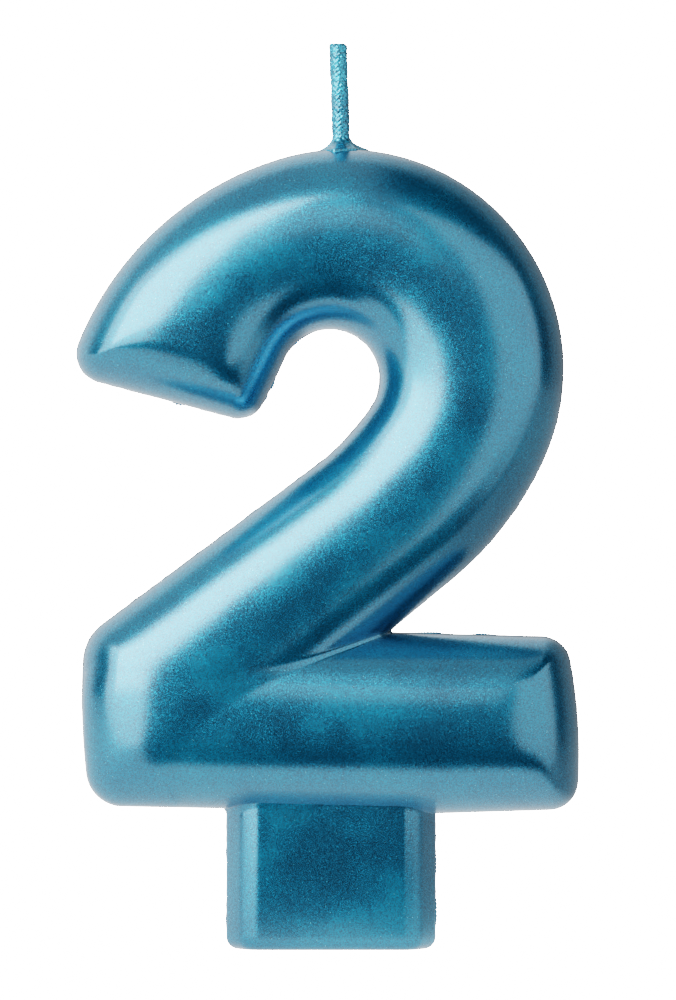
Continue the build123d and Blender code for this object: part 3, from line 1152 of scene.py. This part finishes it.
class GroupKit:
    """Shader node groups that the finishes share, each built once."""

    def __init__(self) -> None:
        """Build every group."""
        self.flake = self.build_flake()
        self.mottle = self.build_mottle()
        self.pits = self.build_pits()

    @staticmethod
    def open_group(name: str, inputs: list[GroupSocket], outputs: list[tuple[str, str]]) -> tuple:
        """Make an empty group.

        Args:
            name: its name.
            inputs: its inputs.
            outputs: names and types of its outputs.

        Returns:
            The tree, its bench, its input node and its output node.
        """
        tree = bpy.data.node_groups.new(name, "ShaderNodeTree")
        for entry in inputs:
            made = tree.interface.new_socket(entry.name, in_out="INPUT", socket_type=entry.kind)
            if entry.value is not None:
                made.default_value = entry.value
        for label, kind in outputs:
            tree.interface.new_socket(label, in_out="OUTPUT", socket_type=kind)
        bench = NodeBench(tree)
        return tree, bench, bench.put("NodeGroupInput"), bench.put("NodeGroupOutput")

    def build_flake(self) -> bpy.types.NodeTree:
        """Metal flake: cells that tilt the normal at random, a value per cell, and rare bright flakes."""
        tree, bench, given, result = self.open_group(
            "metal_flake",
            [
                GroupSocket("Place", "NodeSocketVector"),
                GroupSocket("Normal", "NodeSocketVector"),
                GroupSocket("Density", "NodeSocketFloat", 6000.0),
                GroupSocket("Tilt", "NodeSocketFloat", 0.3),
                GroupSocket("Rarity", "NodeSocketFloat", 0.97),
            ],
            [("Normal", "NodeSocketVector"), ("Value", "NodeSocketFloat"), ("Sparkle", "NodeSocketFloat")],
        )
        cells = bench.put("TexVoronoi", {"Vector": (given, "Place"), "Scale": (given, "Density")})
        coarse_scale = bench.maths("MULTIPLY", (given, "Density"), 0.6)
        coarse = bench.put("TexVoronoi", {"Vector": (given, "Place"), "Scale": coarse_scale})
        centred = bench.vectors("SUBTRACT", (cells, "Color"), (0.5, 0.5, 0.5))
        broad = bench.vectors("SUBTRACT", (coarse, "Color"), (0.5, 0.5, 0.5))
        both = bench.vectors("ADD", centred, bench.vectors("MULTIPLY", broad, (0.55, 0.55, 0.55)))
        tilt = bench.put("VectorMath", {0: both, "Scale": (given, "Tilt")}, operation="SCALE")
        bent = bench.vectors("ADD", (given, "Normal"), (tilt, 0))
        bench.feed(result, "Normal", bench.vectors("NORMALIZE", bent))
        parts = bench.put("SeparateColor", {"Color": (cells, "Color")})
        bench.feed(result, "Value", (parts, "Green"))
        rare = bench.put("SeparateColor", {"Color": (coarse, "Color")})
        lit = bench.maths("GREATER_THAN", (rare, "Red"), (given, "Rarity"))
        core = bench.maths("LESS_THAN", (coarse, "Distance"), 0.3)
        bench.feed(result, "Sparkle", bench.maths("MULTIPLY", lit, core))
        return tree

    def build_mottle(self) -> bpy.types.NodeTree:
        """Slow unevenness of a poured or dipped surface, as a mask and as a height."""
        tree, bench, given, result = self.open_group(
            "poured_mottle",
            [
                GroupSocket("Place", "NodeSocketVector"),
                GroupSocket("Coarse", "NodeSocketFloat", 120.0),
                GroupSocket("Fine", "NodeSocketFloat", 900.0),
            ],
            [("Mask", "NodeSocketFloat"), ("Height", "NodeSocketFloat")],
        )
        broad = bench.put("TexNoise", {"Vector": (given, "Place"), "Scale": (given, "Coarse"), "Detail": 2.0})
        close = bench.put("TexNoise", {"Vector": (given, "Place"), "Scale": (given, "Fine"), "Detail": 3.0})
        bench.feed(result, "Mask", bench.span((broad, 0), 0.32, 0.68))
        bench.feed(result, "Height", bench.maths("MULTIPLY_ADD", (close, 0), 0.3, (broad, 0)))
        return tree

    def build_pits(self) -> bpy.types.NodeTree:
        """Scattered pinholes and crumbs under a film, as a mask that is 1 in a pit."""
        tree, bench, given, result = self.open_group(
            "pinholes",
            [
                GroupSocket("Place", "NodeSocketVector"),
                GroupSocket("Density", "NodeSocketFloat", 900.0),
                GroupSocket("Rarity", "NodeSocketFloat", 0.93),
                GroupSocket("Size", "NodeSocketFloat", 0.12),
            ],
            [("Mask", "NodeSocketFloat")],
        )
        cells = bench.put("TexVoronoi", {"Vector": (given, "Place"), "Scale": (given, "Density")})
        parts = bench.put("SeparateColor", {"Color": (cells, "Color")})
        chosen = bench.maths("GREATER_THAN", (parts, "Blue"), (given, "Rarity"))
        inside = bench.put(
            "MapRange",
            {"Value": (cells, "Distance"), "From Min": (given, "Size"), "From Max": 0.0},
            interpolation_type="SMOOTHSTEP",
        )
        bench.feed(result, "Mask", bench.maths("MULTIPLY", chosen, (inside, "Result")))
        return tree


def use_group(bench: NodeBench, tree: bpy.types.NodeTree, sockets: dict) -> bpy.types.Node:
    """Place a node group with its own values."""
    node = bench.put("Group", node_tree=tree)
    for key, value in sockets.items():
        bench.feed(node, key, value)
    return node


def new_material(name: str) -> tuple[bpy.types.Material, NodeBench]:
    """Empty node material and its bench."""
    material = bpy.data.materials.new(name)
    material.use_nodes = True
    return material, NodeBench(material.node_tree)


@dataclass(frozen=True)
class Mottle:
    """Scales of a surface's slow and its close unevenness, per metre."""

    coarse: float
    fine: float

    def use(self, bench: NodeBench, kit: GroupKit, place: tuple) -> bpy.types.Node:
        """The mottle group with these scales."""
        return use_group(bench, kit.mottle, {"Place": place, "Coarse": self.coarse, "Fine": self.fine})


@dataclass(frozen=True)
class Pinholes:
    """How close pinholes may lie, per metre, the share of places without one, and their size in cells."""

    density: float
    rarity: float
    size: float

    def use(self, bench: NodeBench, kit: GroupKit, place: tuple) -> bpy.types.Node:
        """The pinhole group with these values."""
        sockets = {"Place": place, "Density": self.density, "Rarity": self.rarity, "Size": self.size}
        return use_group(bench, kit.pits, sockets)


@dataclass(frozen=True)
class LacquerFinish:
    """Metallic blue lacquer: tinted flake under a clear film."""

    name: str
    deep: tuple[float, float, float] = (0.002, 0.195, 0.345)
    light: tuple[float, float, float] = (0.004, 0.235, 0.40)
    sparkle: tuple[float, float, float] = (0.25, 0.75, 0.95)
    metal: float = 0.75
    roughness: float = 0.25
    rough_swing: float = 0.04
    film: float = 1.0
    film_roughness: float = 0.2
    film_index: float = 1.92
    flake_density: float = 15000.0
    flake_tilt: float = 0.11
    rarity: float = 0.985
    value_swing: float = 0.42
    relief: float = 0.25
    relief_distance: float = 0.00012
    mottle: Mottle = Mottle(150.0, 1100.0)
    pinholes: Pinholes = Pinholes(620.0, 0.94, 0.16)

    def build(self, kit: GroupKit) -> bpy.types.Material:
        """Make the material.

        Args:
            kit: the shared groups.

        Returns:
            The finished material.
        """
        material, bench = new_material(self.name)
        place = (bench.put("TexCoord"), "Object")
        facing = (bench.put("NewGeometry"), "Normal")
        mottle = self.mottle.use(bench, kit, place)
        pits = self.pinholes.use(bench, kit, place)
        height = bench.maths("SUBTRACT", (mottle, "Height"), (pits, "Mask"))
        bump = bench.put(
            "Bump",
            {"Strength": self.relief, "Distance": self.relief_distance, "Height": height, "Normal": facing},
        )
        flake = use_group(
            bench,
            kit.flake,
            {
                "Place": place,
                "Normal": (bump, "Normal"),
                "Density": self.flake_density,
                "Tilt": self.flake_tilt,
                "Rarity": self.rarity,
            },
        )
        tint = bench.blend((mottle, "Mask"), colour(*self.deep), colour(*self.light))
        shade = bench.span((flake, "Value"), 0.0, 1.0, 1 - self.value_swing, 1 + self.value_swing)
        grained = bench.put("VectorMath", {0: tint, "Scale": shade}, operation="SCALE")
        lit = bench.blend((flake, "Sparkle"), (grained, 0), colour(*self.sparkle))
        smooth, dull = self.roughness - self.rough_swing, self.roughness + self.rough_swing
        rough = bench.span((mottle, "Mask"), 0.0, 1.0, smooth, dull)
        shader = bench.put(
            "BsdfPrincipled",
            {
                "Base Color": lit,
                "Metallic": self.metal,
                "Roughness": rough,
                "Normal": (flake, "Normal"),
                "Coat Weight": self.film,
                "Coat Roughness": self.film_roughness,
                "Coat IOR": self.film_index,
            },
        )
        bench.put("OutputMaterial", {"Surface": (shader, "BSDF")})
        return material


@dataclass(frozen=True)
class WaxFinish:
    """Paraffin wax, cloudy and slightly waxy to the light."""

    name: str
    pale: tuple[float, float, float] = (0.80, 0.83, 0.82)
    dull: tuple[float, float, float] = (0.66, 0.71, 0.72)
    roughness: float = 0.42
    depth: float = 0.0016
    scatter: float = 0.55
    relief: float = 0.5
    relief_distance: float = 0.0002
    mottle: Mottle = Mottle(260.0, 1600.0)
    pinholes: Pinholes = Pinholes(800.0, 0.86, 0.2)

    def build(self, kit: GroupKit) -> bpy.types.Material:
        """Make the material from the shared groups."""
        material, bench = new_material(self.name)
        place = (bench.put("TexCoord"), "Object")
        mottle = self.mottle.use(bench, kit, place)
        pits = self.pinholes.use(bench, kit, place)
        height = bench.maths("SUBTRACT", (mottle, "Height"), (pits, "Mask"))
        bump = bench.put(
            "Bump", {"Strength": self.relief, "Distance": self.relief_distance, "Height": height}
        )
        tint = bench.blend((mottle, "Mask"), colour(*self.pale), colour(*self.dull))
        shader = bench.put(
            "BsdfPrincipled",
            {
                "Base Color": tint,
                "Roughness": self.roughness,
                "Normal": (bump, "Normal"),
                "Subsurface Weight": self.scatter,
                "Subsurface Scale": self.depth,
            },
        )
        bench.put("OutputMaterial", {"Surface": (shader, "BSDF")})
        return material


@dataclass(frozen=True)
class CottonFinish:
    """Undyed cotton yarn, with fibres along the ply."""

    name: str
    pale: tuple[float, float, float] = (0.82, 0.79, 0.70)
    shaded: tuple[float, float, float] = (0.62, 0.58, 0.49)
    mottle: Mottle = Mottle(900.0, 4000.0)
    fibre_scale: float = 2600.0
    relief: float = 0.6
    relief_distance: float = 0.00006
    roughness: float = 0.85
    sheen: float = 0.3

    def build(self, kit: GroupKit) -> bpy.types.Material:
        """Make the material from the shared groups."""
        material, bench = new_material(self.name)
        place = (bench.put("TexCoord"), "Object")
        mottle = self.mottle.use(bench, kit, place)
        fibres = bench.put(
            "TexWave",
            {"Vector": place, "Scale": self.fibre_scale, "Distortion": 3.0, "Detail": 2.0},
            bands_direction="DIAGONAL",
        )
        height = bench.maths("MULTIPLY_ADD", (fibres, "Fac"), 0.6, (mottle, "Height"))
        bump = bench.put(
            "Bump", {"Strength": self.relief, "Distance": self.relief_distance, "Height": height}
        )
        tint = bench.blend((fibres, "Fac"), colour(*self.shaded), colour(*self.pale))
        shader = bench.put(
            "BsdfPrincipled",
            {
                "Base Color": tint,
                "Roughness": self.roughness,
                "Normal": (bump, "Normal"),
                "Sheen Weight": self.sheen,
            },
        )
        bench.put("OutputMaterial", {"Surface": (shader, "BSDF")})
        return material


# ---------------------------------------------------------------------------------------------
# Sub-assemblies
# ---------------------------------------------------------------------------------------------


@dataclass
class Candle:
    """The lacquered figure, the wax under it, and the wick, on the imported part's one body."""

    kit: GroupKit
    nodes: dict
    foot_half_width: float = 9.55
    foot_half_thickness: float = 3.25
    wax_inset: float = 0.3
    wax_foot_inset: float = 0.15
    wax_step: float = 0.5
    sole_gap: float = 0.012
    sole_margin: float = 0.01
    wick_lean: float = 1.8
    wick_shift: float = -0.25

    def boxes(self) -> tuple[np.ndarray, np.ndarray]:
        """Lowest and highest corner of the body coat, in millimetres."""
        low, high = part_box("body_coat")
        return np.array(low) / METRE, np.array(high) / METRE

    def place(
        self, name: str, skin: Skin, finish: bpy.types.Material, slot: Slot, *stands_for: str
    ) -> None:
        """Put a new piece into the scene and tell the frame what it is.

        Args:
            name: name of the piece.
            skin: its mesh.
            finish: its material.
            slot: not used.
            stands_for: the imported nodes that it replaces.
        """
        piece = as_object(name, skin, finish)
        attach(piece, BODY)
        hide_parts(*stands_for)
        LOG.info("%s: %d vertices, %d faces", name, len(skin.points), len(skin.faces))

    def build(self) -> None:
        """Build the figure, the wax and the wick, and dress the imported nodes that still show."""
        low, high = self.boxes()
        shape = FigureShape(crown=high[2], bar_half=high[0])
        crest = (high[1] - low[1]) / 2
        foot_sizes = {
            "half_width": self.foot_half_width,
            "half_thickness": self.foot_half_thickness,
            "root_height": shape.foot_height,
        }
        lacquer = LacquerFinish("metallic_blue_lacquer").build(self.kit)

        figure = FigureBody(shape, crest)
        foot = FootBlock(**foot_sizes)
        flash = PartingFlash(figure, foot)
        coat = Skin.joined([figure.build(), foot.build(), flash.build()])
        self.place("numeral_coat", coat, lacquer, Slot.LACQUER, "body_coat")

        wax = FigureBody(shape, crest, inset=self.wax_inset, step=self.wax_step, relax_rounds=8)
        wax_foot = FootBlock(
            **foot_sizes, inset=self.wax_foot_inset, columns=120, step=0.6, closed_sole=True, lip=1.6
        )
        core = Skin.joined([wax.build(), self.lowered(wax_foot.build())])
        self.place("wax_core", core, WaxFinish("paraffin_wax").build(self.kit), Slot.BARE_WAX, "wax_body")

        wick = self.wick(shape)
        coated = LacquerFinish(
            "wick_lacquer_film",
            deep=(0.006, 0.24, 0.40),
            light=(0.035, 0.40, 0.60),
            roughness=0.34,
            film=0.8,
            film_roughness=0.3,
            relief=0.6,
            value_swing=0.55,
            flake_tilt=0.24,
            flake_density=8500.0,
        ).build(self.kit)
        self.place("wick_coat_braid", wick.build(), coated, Slot.WICK_LACQUER, "wick_coat")
        self.dress_inner_nodes()

    def lowered(self, skin: Skin) -> Skin:
        """The wax foot with its sole let down to just above the lip of the lacquer."""
        points = skin.points.copy()
        in_sole = points[:, 2] < self.wax_foot_inset + self.sole_margin
        points[:, 2] = np.where(in_sole, self.sole_gap, points[:, 2])
        return Skin(points, skin.faces, averaged_normals(points, skin.faces))

    def wick(self, shape: FigureShape) -> BraidedWick:
        """Wick on the crown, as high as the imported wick."""
        _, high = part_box("wick_coat")
        shift, lean = self.wick_shift, math.radians(self.wick_lean)
        root = shape.bowl + complex(shift, math.sqrt(shape.bowl_radius**2 - shift**2))
        length = (high[2] / METRE - root.imag - BraidedWick.radius * math.sin(lean)) / math.cos(lean)
        return BraidedWick(root=root, lean=self.wick_lean, length=length)

    def dress_inner_nodes(self) -> None:
        """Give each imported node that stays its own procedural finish."""
        seal = WaxFinish("sealing_wax", pale=(0.78, 0.82, 0.80)).build(self.kit)
        priming = WaxFinish("priming_wax", pale=(0.82, 0.80, 0.72), dull=(0.72, 0.70, 0.62)).build(self.kit)
        cotton = CottonFinish("cotton_ply").build(self.kit)
        finishes = {"wick_seal": seal, "wick_priming": priming, "wick_ply": cotton}
        for name, node in self.nodes.items():
            for start, finish in finishes.items():
                if name.startswith(start):
                    node.data.materials.clear()
                    node.data.materials.append(finish)
                    LOG.info("%s dressed with %s", name, finish.name)


# ---------------------------------------------------------------------------------------------
# Studio
# ---------------------------------------------------------------------------------------------


@dataclass(frozen=True)
class SoftBox:
    """Rectangular area light aimed at the candle.

    Its direction from the candle is given by the angle from the camera's side round to the left (negative to
    the right) and by its elevation, both in degrees.
    """

    name: str
    around: float
    elevation: float
    width: float
    height: float
    radiance: float
    distance: float = 600.0

    def build(self, target: np.ndarray) -> None:
        """Add the light. Its power is radiance times pi times its area.

        Args:
            target: the point it faces, in millimetres.
        """
        around, rise = math.radians(self.around), math.radians(self.elevation)
        level = math.cos(rise)
        way = np.array([-math.sin(around) * level, -math.cos(around) * level, math.sin(rise)])
        data = bpy.data.lights.new(self.name, "AREA")
        data.shape = "RECTANGLE"
        data.size, data.size_y = self.width * METRE, self.height * METRE
        data.energy = self.radiance * math.pi * data.size * data.size_y
        lamp = bpy.data.objects.new(self.name, data)
        lamp.location = (target + way * self.distance) * METRE
        lamp.rotation_euler = Vector(-way).to_track_quat("-Z", "Y").to_euler()
        lamp.visible_camera = False
        bpy.context.scene.collection.objects.link(lamp)


@dataclass
class Studio:
    """White sweep of a studio: floor, surround, soft boxes and the camera.

    The floor's card is the part of it that glows. Its near edge runs from card_left on the left to card_near
    across the stretch card_turn, and it dims to the right over card_dim. A weaker glow lies at the right,
    over side_turn, in front of side_edge. Floor stretches are in millimetres along X or Y. The surround's
    stretches are shares of its unit direction: behind and centre along Y, right and over_right along X, and
    above along Z.
    """

    eye: tuple[float, float, float] = (0.69, -600.0, 40.9)
    lens: float = 237.0
    sensor: float = 36.0
    boxes: tuple[SoftBox, ...] = (
        SoftBox("key_core", 38.0, 22.0, 560.0, 400.0, 2.7),
        SoftBox("key_veil", 47.5, 14.0, 880.0, 790.0, 2.3),
        SoftBox("fill", -51.0, 4.0, 900.0, 860.0, 0.85),
        SoftBox("brow", 0.0, 17.0, 150.0, 170.0, 0.8),
    )
    aim: tuple[float, float, float] = (0.0, 0.0, 41.0)
    floor_near: float = -95.0
    floor_reach: float = 900.0
    card_near: float = -26.0
    card_left: float = -84.0
    card_turn: tuple[float, float] = (-34.0, -14.0)
    card_blur: float = 6.0
    card_dim: tuple[float, float] = (18.0, 46.0)
    card_dim_share: float = 0.4
    card_glow: float = 0.9
    side_edge: tuple[float, float] = (-40.0, -24.0)
    side_turn: tuple[float, float] = (45.0, 105.0)
    side_glow: float = 0.65
    behind: tuple[float, float] = (0.1, 0.5)
    behind_glow: float = 1.0
    front_glow: float = 0.02
    centre: tuple[float, float] = (0.86, 0.97)
    centre_share: float = 0.25
    right: tuple[float, float] = (-0.15, 0.45)
    right_share: float = 0.25
    above: tuple[float, float] = (0.3, 0.6)
    over_right: tuple[float, float] = (0.05, 0.3)
    overhead_glow: float = 0.42
    seen_glow: float = 24.0
    clip: tuple[float, float] = (0.01, 20.0)

    def build(self) -> None:
        """Build the studio."""
        for box in self.boxes:
            box.build(np.array(self.aim))
        self.floor()
        self.surround()
        self.camera()
        bpy.context.scene.view_settings.view_transform = "Filmic"
        bpy.context.scene.view_settings.look = "High Contrast"

    def floor(self) -> None:
        """Pale floor: white to the camera, and a card of soft light to what it is mirrored in."""
        near, far = self.floor_near, self.floor_reach
        cloud = np.array([[[x, y, 0.0] for x in (-far, far)] for y in (near, far)])
        material, bench = new_material("studio_floor")
        place = bench.put("SeparateXYZ", {0: (bench.put("TexCoord"), "Object")})
        turn, dim, edge, side = (
            tuple(end * METRE for end in stretch)
            for stretch in (self.card_turn, self.card_dim, self.side_edge, self.side_turn)
        )
        slant = bench.span((place, "X"), *turn, self.card_left * METRE, self.card_near * METRE)
        beyond = bench.maths("SUBTRACT", (place, "Y"), slant)
        card = bench.span(beyond, -self.card_blur * METRE, self.card_blur * METRE)
        level = bench.span((place, "X"), *dim, self.card_glow, self.card_dim_share * self.card_glow)
        in_front = bench.span((place, "Y"), *edge, 1.0, 0.0)
        beside = bench.span((place, "X"), *side, 0.0, self.side_glow)
        card_light = bench.maths("MULTIPLY", card, level)
        side_light = bench.maths("MULTIPLY", in_front, beside)
        seen = bench.maths("MULTIPLY", (bench.put("LightPath"), "Is Camera Ray"), self.seen_glow)
        strength = bench.maths("MAXIMUM", bench.maths("MAXIMUM", card_light, side_light), seen)
        glow = bench.put("Emission", {"Color": colour(1, 1, 1), "Strength": strength})
        bench.put("OutputMaterial", {"Surface": (glow, 0)})
        floor = as_object("studio_floor", Skin.woven(cloud, closed=False), material)

    def surround(self) -> None:
        """White surround that glows beside and behind the candle and is dark on the camera's side."""
        world = bpy.data.worlds.new("studio_surround")
        world.use_nodes = True
        bpy.context.scene.world = world
        bench = NodeBench(world.node_tree)
        way = bench.put("SeparateXYZ", {0: (bench.put("TexCoord"), "Generated")})
        behind = bench.span((way, "Y"), *self.behind, self.front_glow, self.behind_glow)
        centre = bench.span((way, "Y"), *self.centre, 1.0, self.centre_share)
        shaded = bench.span((way, "X"), *self.right, 1.0, self.right_share)
        above = bench.span((way, "Z"), *self.above, 0.0, self.overhead_glow)
        overhead = bench.maths("MULTIPLY", above, bench.span((way, "X"), *self.over_right, 1.0, 0.0))
        around = bench.maths("MULTIPLY", bench.maths("MULTIPLY", behind, centre), shaded)
        glow = bench.maths("MAXIMUM", around, overhead)
        seen = bench.maths("MULTIPLY", (bench.put("LightPath"), "Is Camera Ray"), self.seen_glow)
        strength = bench.maths("MAXIMUM", glow, seen)
        light = bench.put("Background", {"Color": colour(1, 1, 1), "Strength": strength})
        bench.put("OutputWorld", {"Surface": (light, 0)})

    def camera(self) -> None:
        """Camera straight on, level with the middle of the candle."""
        data = bpy.data.cameras.new("camera")
        data.lens, data.sensor_width, data.sensor_height = self.lens, self.sensor, self.sensor
        data.sensor_fit = "AUTO"
        data.clip_start, data.clip_end = self.clip
        camera = bpy.data.objects.new("camera", data)
        camera.location = np.array(self.eye) * METRE
        camera.rotation_euler = (math.pi / 2, 0.0, 0.0)
        bpy.context.scene.collection.objects.link(camera)
        bpy.context.scene.camera = camera


def main() -> None:
    """Load the frame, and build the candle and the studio."""
    logging.basicConfig(level=logging.INFO, format="%(name)s: %(message)s")
    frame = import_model()
    Candle(GroupKit(), frame["nodes"]).build()
    Studio().build()


if __name__ == "__main__":
    main()
